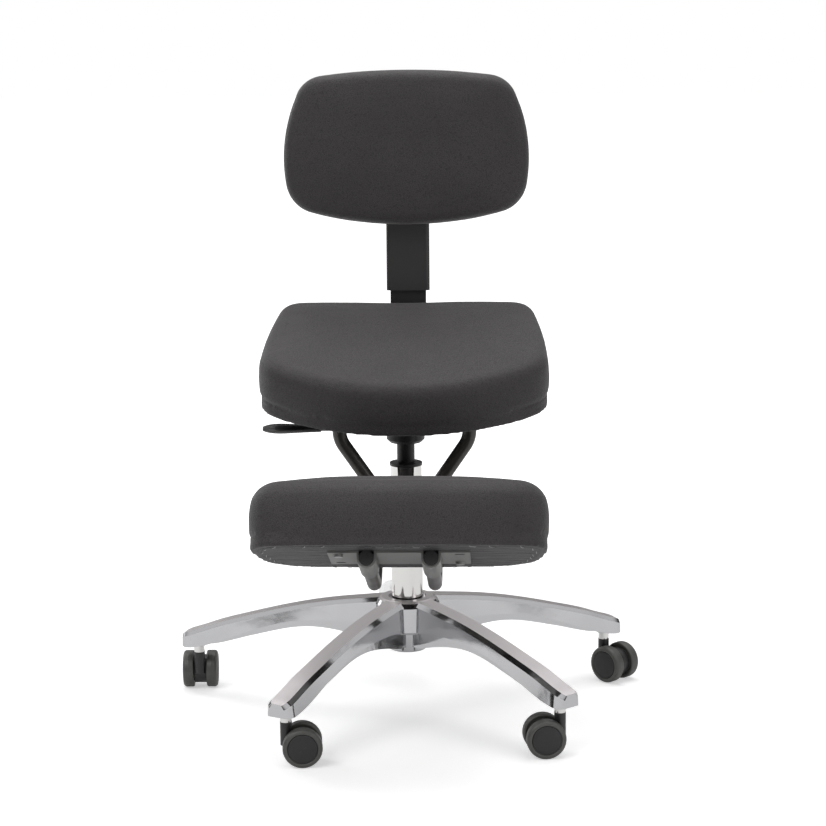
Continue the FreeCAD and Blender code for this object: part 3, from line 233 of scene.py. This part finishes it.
def woven(name, colour, shine):
    """Thin spun cloth: two sets of fine threads, with wrinkles pulled across it, and painted shade
    and light that follow the wrinkles.
    """
    material, nodes, links, shader = new_material(name)
    where = place_of(nodes, links)
    threads = []
    for direction in ("X", "Y"):
        wave = put(nodes, links, "TexWave", {"Vector": where.outputs[0], "Scale": 420.0,
                                             "Distortion": 1.2}, bands_direction=direction)
        threads.append(wave.outputs["Fac"])
    weave = put(nodes, links, "Math", {0: threads[0], 1: threads[1]}, operation="MULTIPLY")
    broad = clouds(nodes, links, place_of(nodes, links, (1, 2.6, 1)), 24, 4)
    # Painted shade and light: the colour follows the same noise as the wrinkle bump, darker in the
    # troughs and lighter on the ridges.
    tone = ramp(nodes, links, broad.outputs["Fac"],
                [(0.3, tuple(c * 0.6 for c in colour[:3]) + (1,)),
                 (0.72, tuple(c * 1.5 for c in colour[:3]) + (1,))])
    links.new(tone.outputs[0], shader.inputs["Base Color"])
    shader.inputs["Roughness"].default_value = shine
    shader.inputs["Specular IOR Level"].default_value = 0.4
    first = put(nodes, links, "Bump", {"Height": broad.outputs["Fac"], "Strength": 0.9,
                                       "Distance": 0.006})
    second = put(nodes, links, "Bump", {"Height": weave.outputs[0], "Strength": 0.3,
                                        "Distance": 0.0002, "Normal": first.outputs[0]})
    links.new(second.outputs[0], shader.inputs["Normal"])
    return material


def ply(name):
    """Birch plywood: pale plies with darker glue lines, and a fine grain."""
    material, nodes, links, shader = new_material(name)
    where = place_of(nodes, links, (1, 1, 8))
    grain = clouds(nodes, links, where, 40, 5)
    tone = ramp(nodes, links, grain.outputs["Fac"], [(0.3, linear("8f6f48")),
                                                     (0.7, linear("c7a57a"))])
    links.new(tone.outputs[0], shader.inputs["Base Color"])
    shader.inputs["Roughness"].default_value = 0.65
    lift = put(nodes, links, "Bump", {"Height": grain.outputs["Fac"], "Strength": 0.2,
                                      "Distance": 0.0004})
    links.new(lift.outputs[0], shader.inputs["Normal"])
    return material


def cast_metal(name):
    """Polished casting: satin on the faces that look up, mirror at the sides and below; the faces
    that look up also get a lighter colour, painted light from above.
    """
    material, nodes, links, shader = new_material(name)
    where = place_of(nodes, links)
    facing = put(nodes, links, "NewGeometry")
    split = put(nodes, links, "SeparateXYZ", {"Vector": facing.outputs["Normal"]})
    up = put(nodes, links, "MapRange", {"Value": split.outputs["Z"], "From Min": 0.72,
                                        "From Max": 0.9})
    fine = clouds(nodes, links, where, 700, 4)
    broad = clouds(nodes, links, where, 16, 3)
    satin = put(nodes, links, "MapRange", {"Value": fine.outputs["Fac"], "From Min": 0.3,
                                           "From Max": 0.7, "To Min": 0.34, "To Max": 0.46})
    shine = put(nodes, links, "MapRange", {"Value": broad.outputs["Fac"], "From Min": 0.3,
                                           "From Max": 0.7, "To Min": 0.06, "To Max": 0.15})
    rough = value_mix(nodes, links, up.outputs[0], shine.outputs[0], satin.outputs[0])
    links.new(rough, shader.inputs["Roughness"])
    # Painted light: the faces that look up get a lighter colour, as if lit from above.
    tone = colour_mix(nodes, links, up.outputs[0], linear("b9b9bb"), linear("cfcacb"))
    links.new(tone, shader.inputs["Base Color"])
    shader.inputs["Metallic"].default_value = 1.0
    lift = put(nodes, links, "Bump", {"Height": fine.outputs["Fac"], "Strength": 0.06,
                                      "Distance": 0.0003})
    wave = put(nodes, links, "Bump", {"Height": broad.outputs["Fac"], "Strength": 0.12,
                                      "Distance": 0.004, "Normal": lift.outputs[0]})
    links.new(wave.outputs[0], shader.inputs["Normal"])
    return material


# Studio: white behind the object, even light for the matt faces, and for the mirror faces a
# dark room with a bright ceiling and soft bright panels.

def make_world():
    world = bpy.data.worlds.new("studio")
    scene.world = world
    world.use_nodes = True
    nodes = world.node_tree.nodes
    links = world.node_tree.links
    path = put(nodes, links, "LightPath")
    spot = put(nodes, links, "TexCoord")
    split = put(nodes, links, "SeparateXYZ", {"Vector": spot.outputs["Generated"]})
    ceiling = put(nodes, links, "MapRange", {"Value": split.outputs["Z"], "From Min": 0.2,
                                             "From Max": 0.75, "To Min": 0.0, "To Max": 0.9},
                  interpolation_type="SMOOTHSTEP")
    patches = put(nodes, links, "TexNoise", {"Vector": spot.outputs["Generated"], "Scale": 3.2,
                                             "Detail": 1.0, "Roughness": 0.4})
    panels = put(nodes, links, "MapRange", {"Value": patches.outputs["Fac"], "From Min": 0.52,
                                            "From Max": 0.6, "To Min": 0.05, "To Max": 0.75},
                 interpolation_type="SMOOTHSTEP")
    room = put(nodes, links, "Math", {0: ceiling.outputs[0], 1: panels.outputs[0]},
               operation="MAXIMUM")
    seen = put(nodes, links, "Math", {0: path.outputs["Is Camera Ray"],
                                      1: path.outputs["Is Transmission Ray"]}, operation="MAXIMUM")
    matt = value_mix(nodes, links, path.outputs["Is Glossy Ray"], 0.34, room.outputs[0])
    strength = value_mix(nodes, links, seen.outputs[0], matt, 1.0)
    glow = nodes["Background"]
    glow.inputs["Color"].default_value = (1, 1, 1, 1)
    links.new(strength, glow.inputs["Strength"])


make_world()

MATERIALS = {
    "cover": leather("charcoal_cover", linear("363334"), linear("3e3b3c")),
    "cast": cast_metal("polished_casting"),
    "chrome": metal("chrome_plate", linear("d9d8d6"), 0.05, 0.02, (1, 1, 0.15), 40, 0.01, 0.04),
    "zinc": metal("zinc_plate", linear("a9aaa8"), 0.3, 0.12, (1, 1, 1), 90, 0.1, 0.12),
    "bracket": metal("bracket_steel", linear("8d8d8b"), 0.38, 0.25, (1, 1, 1), 30, 0.12, 0.14),
    "gunmetal": plastic("gunmetal_paint", linear("403e3b"), 0.3, 900, 0.2, 0.0001, 0.6, 0.55, 0.2),
    "black_steel": plastic("black_paint", linear("181818"), 0.36, 1100, 0.25, 0.0001, 0.5, 0.1),
    "black": plastic("black_plastic", linear("1e1d1d"), 0.34, 1500, 0.3, 0.00012, 0.5),
    "disc": plastic("wheel_disc", linear("2c2b2c"), 0.42, 1700, 0.35, 0.00015, 0.4),
    "tyre": plastic("grey_tyre", linear("4b4b48"), 0.38, 800, 0.15, 0.0001, 0.5, 0.0, 0.15),
    "cloth": woven("dust_cloth", linear("343334"), 0.55),
    "ply": ply("birch_ply"),
}


# Finishes of the CAD nodes

def dress(names, key):
    for name in names:
        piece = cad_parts[name]
        for slot in piece.material_slots:
            slot.material = MATERIALS[key]
        if not piece.material_slots:
            piece.data.materials.append(MATERIALS[key])


WHERE = ("right", "rear", "left", "front_left", "front_right")
dress(["star_base"], "cast")
dress(["caster_%s_stem" % name for name in WHERE] + ["caster_%s_axle" % name for name in WHERE],
      "chrome")
dress(["caster_%s_housing" % name for name in WHERE], "black")
dress(["column_tube"], "chrome")
dress(["piston_rod", "rod_clip", "thrust_bearing", "lever_pin", "seat_bolts", "backrest_screws",
       "knee_bracket_screws"], "zinc")
dress(["column_guide_bush", "rod_buffer", "release_button", "depth_knob", "height_knob",
       "lever_paddle", "tube_end_caps", "upright_sleeve", "backrest_shell"], "black")
dress(["gas_cylinder", "seat_mechanism", "lever_rod", "upright_clamp", "backrest_carrier",
       "back_upright"], "black_steel")
dress(["frame_tube_left", "frame_tube_right"], "gunmetal")
dress(["knee_bracket"], "bracket")
dress(["seat_dust_cover", "knee_dust_cover"], "cloth")
dress(["seat_board", "knee_board", "backrest_board"], "ply")
for side in ("a", "b"):
    dress(["caster_%s_wheel_%s" % (name, side) for name in WHERE], "tyre")

# Floor

def make_floor():
    mesh = bpy.data.meshes.new("floor")
    reach = 14.0
    mesh.from_pydata([(-reach, -reach, 0), (reach, -reach, 0), (reach, reach, 0),
                      (-reach, reach, 0)], [], [(0, 1, 2, 3)])
    floor = bpy.data.objects.new("floor", mesh)
    scene.collection.objects.link(floor)
    material, nodes, links, shader = new_material("pale_floor")
    nodes.remove(shader)
    diffuse = put(nodes, links, "BsdfDiffuse", {"Color": (0.9, 0.9, 0.9, 1)})
    seen_by = put(nodes, links, "LightPath")
    either = put(nodes, links, "Math", {0: seen_by.outputs["Is Camera Ray"],
                                        1: seen_by.outputs["Is Glossy Ray"]}, operation="MAXIMUM")
    spot = put(nodes, links, "TexCoord")
    reach_out = put(nodes, links, "VectorMath", {0: spot.outputs["Object"]}, operation="LENGTH")
    far = put(nodes, links, "MapRange", {"Value": reach_out.outputs["Value"], "From Min": 0.7,
                                         "From Max": 1.8, "To Min": 0.45, "To Max": 1.0},
              interpolation_type="SMOOTHSTEP")
    duller = value_mix(nodes, links, seen_by.outputs["Is Glossy Ray"], 1.0, 0.3)
    level = put(nodes, links, "Math", {0: either.outputs[0], 1: duller}, operation="MULTIPLY")
    share = put(nodes, links, "Math", {0: level.outputs[0], 1: far.outputs[0]},
                operation="MULTIPLY")
    glow_part = put(nodes, links, "Emission", {"Strength": share.outputs[0]})
    both = put(nodes, links, "AddShader")
    links.new(diffuse.outputs[0], both.inputs[0])
    links.new(glow_part.outputs[0], both.inputs[1])
    links.new(both.outputs[0], nodes["Material Output"].inputs["Surface"])
    mesh.materials.append(material)


make_floor()


# Meshes

def add_piece(name, points, faces, material, body, smooth=True):
    mesh = bpy.data.meshes.new(name)
    mesh.from_pydata([tuple(point) for point in points], [], faces)
    mesh.update()
    piece = bpy.data.objects.new(name, mesh)
    scene.collection.objects.link(piece)
    mesh.materials.append(MATERIALS[material])
    mesh.polygons.foreach_set("use_smooth", [smooth] * len(mesh.polygons))
    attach(piece, body)
    return piece


def lathe(profile, steps):
    """Points and faces of a profile (radius, height) turned about Z, closed at both ends."""
    points = []
    faces = []
    for radius, height in profile:
        for step in range(steps):
            turn = 2 * math.pi * step / steps
            points.append(Vector((radius * math.cos(turn), radius * math.sin(turn), height)))
    for ring in range(len(profile) - 1):
        for step in range(steps):
            a = ring * steps + step
            b = ring * steps + (step + 1) % steps
            faces.append((a, b, b + steps, a + steps))
    return points, faces


def arc_points(centre, radius, start, end, count):
    points = []
    for step in range(count + 1):
        turn = math.radians(start + (end - start) * step / count)
        points.append((centre[0] + radius * math.cos(turn), centre[1] + radius * math.sin(turn)))
    return points


# Pads. Each starts from its CAD cushion and board, in the pad's own frame, whose origin is at the
# middle of the board's lower face and whose Z points out of the pad.

VOXEL = 0.005
PAD_FACE = -0.0004
BOARD_HIDE = 0.02
COVER_OVER_BOARD = 0.0055
CLOTH_FRAMES = 20
CLOTH_PRESSURE = 4.0
PINNED_BELOW = 0.012
RELAX_ABOVE = 0.004
CAD_SHARE = 0.85

PLACES = {
    "seat": Matrix.Translation((0, 0, 0.505)) @ Matrix.Rotation(math.radians(12.5), 4, "X"),
    "knee": Matrix.Translation((0, -0.402, 0.361)) @ Matrix.Rotation(math.radians(-22.7), 4, "X"),
    "backrest": (Matrix.Translation((0, 0.209 - 0.0113 / math.cos(math.radians(4)), 0.8735))
                 @ Matrix.Rotation(math.radians(86), 4, "X")),
}


def applied(piece):
    """Bakes a piece's modifiers into its mesh."""
    graph = bpy.context.evaluated_depsgraph_get()
    graph.update()
    mesh = bpy.data.meshes.new_from_object(piece.evaluated_get(graph))
    old = piece.data
    piece.modifiers.clear()
    piece.data = mesh
    bpy.data.meshes.remove(old)
    return piece


def relax(mesh, rounds):
    """Smooths the steps that the remesh leaves, above the pad's lower edge."""
    form = bmesh.new()
    form.from_mesh(mesh)
    for _ in range(rounds):
        moving = [vert for vert in form.verts if vert.co.z > RELAX_ABOVE]
        bmesh.ops.smooth_vert(form, verts=moving, factor=0.5, use_axis_x=True, use_axis_y=True,
                              use_axis_z=True)
    form.to_mesh(mesh)
    form.free()


def swell(piece, cap):
    """Inflates the pad as cloth, then holds each point to within cap of where it was."""
    group = piece.vertex_groups.new(name="pin")
    pinned = [vert.index for vert in piece.data.vertices if vert.co.z < PINNED_BELOW]
    group.add(pinned, 1.0, "ADD")
    start = [vert.co.copy() for vert in piece.data.vertices]
    cloth = piece.modifiers.new("cloth", "CLOTH")
    settings = cloth.settings
    settings.use_pressure = True
    settings.uniform_pressure_force = CLOTH_PRESSURE
    settings.effector_weights.gravity = 0
    settings.vertex_group_mass = "pin"
    settings.tension_stiffness = 25
    settings.compression_stiffness = 25
    cloth.point_cache.frame_end = CLOTH_FRAMES
    for step in range(1, CLOTH_FRAMES + 1):
        scene.frame_set(step)
    graph = bpy.context.evaluated_depsgraph_get()
    grown = bpy.data.meshes.new_from_object(piece.evaluated_get(graph))
    places = [vert.co.copy() for vert in grown.vertices]
    piece.modifiers.clear()
    bpy.data.meshes.remove(grown)
    for vert, old, new in zip(piece.data.vertices, start, places):
        move = new - old
        if move.length > cap:
            move *= cap / move.length
        vert.co = old + move
    scene.frame_set(1)


def settle_on(mesh, tree, share):
    """Brings the relaxed pad back towards its CAD form, and keeps the rest of its unevenness."""
    for vert in mesh.vertices:
        spot = tree.find_nearest(vert.co)[0]
        if spot is not None:
            vert.co = vert.co.lerp(spot, share)


def smooth_step(value, low, high):
    share = min(max((value - low) / (high - low), 0), 1)
    return share * share * (3 - 2 * share)


def box_of(points):
    low = Vector([min(point[axis] for point in points) for axis in range(3)])
    high = Vector([max(point[axis] for point in points) for axis in range(3)])
    return low, high


def drawn_in(point, low, high, settle):
    """A point of the cushion, moved in by about settle, to leave room for the swelling."""
    middle = (low + high) / 2
    shrink = 1 - settle / (high.x - low.x) * 2
    return Vector((middle.x + (point.x - middle.x) * shrink, middle.y + (point.y - middle.y) * shrink,
                   point.z - settle * smooth_step(point.z, 0.02, 0.06)))


def wrapped(point, low, high):
    """A point of the board, moved out to where the cover's folded edge hides it."""
    middle = (low + high) / 2
    wide = 1 + COVER_OVER_BOARD / (high.x - middle.x)
    deep = 1 + COVER_OVER_BOARD / (high.y - middle.y)
    rise = (point.z - low.z) / (high.z - low.z)
    return Vector((middle.x + (point.x - middle.x) * wide, middle.y + (point.y - middle.y) * deep,
                   rise * BOARD_HIDE + PAD_FACE))


def pad_forms(prefix, settle):
    """The form that the pad swells from, the form that it comes back to, and their faces."""
    back = PLACES[prefix].inverted()
    start = []
    goal = []
    faces = []
    for role in ("cushion", "board"):
        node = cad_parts["%s_%s" % (prefix, role)]
        first = len(start)
        local = [back @ (node.matrix_world @ vert.co) for vert in node.data.vertices]
        low, high = box_of(local)
        if role == "cushion":
            start += [drawn_in(point, low, high, settle) for point in local]
            goal += local
        else:
            covered = [wrapped(point, low, high) for point in local]
            start += covered
            goal += covered
        faces += [[first + index for index in face.vertices] for face in node.data.polygons]
    return start, goal, faces


def make_pad(prefix, body, settle, shape):
    start, goal, faces = pad_forms(prefix, settle)
    piece = add_piece(prefix + "_padding", start, faces, "cover", body)
    remesh = piece.modifiers.new("remesh", "REMESH")
    remesh.mode = "VOXEL"
    remesh.voxel_size = VOXEL
    applied(piece)
    relax(piece.data, 8)
    swell(piece, settle * 1.6)
    relax(piece.data, 2)
    settle_on(piece.data, BVHTree.FromPolygons(goal, faces), CAD_SHARE)
    for vert in piece.data.vertices:
        vert.co = shape(vert.co.copy())
        vert.co.z = max(vert.co.z, PAD_FACE)
    finer = piece.modifiers.new("finer", "SUBSURF")
    finer.levels = 1
    finer.render_levels = 1
    applied(piece)
    piece.data.transform(PLACES[prefix])
    piece.data.materials.clear()
    piece.data.materials.append(MATERIALS["cover"])
    piece.data.polygons.foreach_set("use_smooth", [True] * len(piece.data.polygons))
    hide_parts(prefix + "_cushion")


def puckers(point, depth, scale, seed):
    """Slight unevenness of foam under a tight cover."""
    value = noise.noise(Vector((point.x * scale + seed, point.y * scale, point.z * scale)))
    return value * depth


def seat_shape(point):
    top = smooth_step(point.z, 0.05, 0.085)
    dish = math.exp(-(point.x / 0.1) ** 2) * smooth_step(point.y, 0.0, 0.15)
    point.z += top * (-0.005 * dish + puckers(point, 0.0012, 7, 1.5))
    return point


def knee_shape(point):
    top = smooth_step(point.z, 0.05, 0.09)
    point.z += top * puckers(point, 0.0014, 8, 4.0)
    return point


def back_shape(point):
    top = smooth_step(point.z, 0.03, 0.055)
    point.z += top * puckers(point, 0.001, 8, 9.0)
    return point


make_pad("seat", "seat", 0.004, seat_shape)
make_pad("knee", "seat", 0.004, knee_shape)
make_pad("backrest", "backrest", 0.003, back_shape)


# Wheels: a tyre with a rounded tread and a domed disc with a turned groove

CASTER_CIRCLE = 0.35
FIRST_ARM = 24.5
WHEEL_TRAIL = 0.024
WHEEL_OFFSET = 0.010
WHEEL_RADIUS = 0.030
LATHE_STEPS = 72
TRAIL = {"right": -43.0, "rear": 60.0, "left": 92.0, "front_left": 5.0, "front_right": 188.5}
TYRE = ([(0.0032, 0.0), (0.0195, 0.0), (0.0205, 0.0012), (0.0255, 0.0012)]
        + arc_points((0.0272, 0.0030), 0.0028, 250, 360, 5)
        + arc_points((0.0268, 0.0090), 0.0032, 340, 380, 3)
        + arc_points((0.0245, 0.0125), 0.0055, 0, 78, 7)
        + [(0.0240, 0.0181), (0.0232, 0.0176), (0.0225, 0.0160), (0.0032, 0.0160)])
DISC = [(0.0222, 0.0150), (0.0222, 0.0168), (0.0217, 0.0177), (0.0208, 0.0181), (0.0203, 0.0178),
        (0.0198, 0.0181), (0.0150, 0.0187), (0.0100, 0.0190), (0.0050, 0.0192), (0.0002, 0.0192)]


def make_wheels():
    for index, where in enumerate(WHERE):
        angle = math.radians(FIRST_ARM + 72 * index)
        stem = Vector((CASTER_CIRCLE * math.cos(angle), CASTER_CIRCLE * math.sin(angle), 0))
        turn = Matrix.Rotation(math.radians(TRAIL[where]), 4, "Z")
        for side, letter in ((1, "a"), (-1, "b")):
            body = "caster_%s_wheel_%s" % (where, letter)
            hub = Matrix.Translation((WHEEL_TRAIL, WHEEL_OFFSET * side, WHEEL_RADIUS))
            place = (Matrix.Translation(stem) @ turn @ hub
                     @ Matrix.Rotation(math.radians(-90 * side), 4, "X"))
            for part, profile in (("tyre", TYRE), ("disc", DISC)):
                points, faces = lathe(profile, LATHE_STEPS)
                if part == "disc":
                    faces.append(tuple(range(len(points) - LATHE_STEPS, len(points))))
                piece = add_piece(body + "_" + part, [place @ point for point in points], faces,
                                  part, body)
                if part == "tyre":
                    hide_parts(body)


make_wheels()


# Staples that hold the dust cloths. A staple is a flat wire along the rings, each given as its
# place along the staple and its height.

STAPLE_RINGS = ((-0.0055, 0.0003), (-0.0051, -0.0006), (-0.0042, -0.0010), (0.0042, -0.0010),
                (0.0051, -0.0006), (0.0055, 0.0003))
STAPLE_WIRE = ((-0.00045, 0.0), (0.00045, 0.0), (0.00045, -0.0005), (-0.00045, -0.0005))
CLOTH_DEPTH = 0.0007


def make_staples(prefix, count, inset):
    """Short wire staples round the edge of the cloth, set square to the edge."""
    place = PLACES[prefix]
    back = place.inverted()
    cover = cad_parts[prefix + "_dust_cover"]
    local = [back @ (cover.matrix_world @ vert.co) for vert in cover.data.vertices]
    centre = Vector((0, (min(p.y for p in local) + max(p.y for p in local)) / 2, 0))
    edge = sorted(((math.atan2(p.y - centre.y, p.x), (p - centre).xy.length) for p in local))
    points = []
    faces = []
    for step in range(count):
        angle = -math.pi + 2 * math.pi * (step + 0.5) / count
        near = max((r for a, r in edge if abs(a - angle) < 0.06), default=None)
        if near is None:
            continue
        spot = centre + Vector((math.cos(angle), math.sin(angle), 0)) * (near - inset)
        lean = angle + math.pi / 2 + 0.25 * math.sin(step * 7.3)
        along = Vector((math.cos(lean), math.sin(lean), 0))
        across = Vector((-along.y, along.x, 0))
        first = len(points)
        for reach, depth in STAPLE_RINGS:
            for wide, thick in STAPLE_WIRE:
                points.append(place @ (spot + along * reach + across * wide
                                       + Vector((0, 0, depth - CLOTH_DEPTH + thick))))
        for ring in range(len(STAPLE_RINGS) - 1):
            for corner in range(4):
                a = first + ring * 4 + corner
                b = first + ring * 4 + (corner + 1) % 4
                faces.append((a, b, b + 4, a + 4))
    piece = add_piece(prefix + "_staples", points, faces, "zinc", "seat", False)


make_staples("knee", 46, 0.008)
make_staples("seat", 52, 0.008)
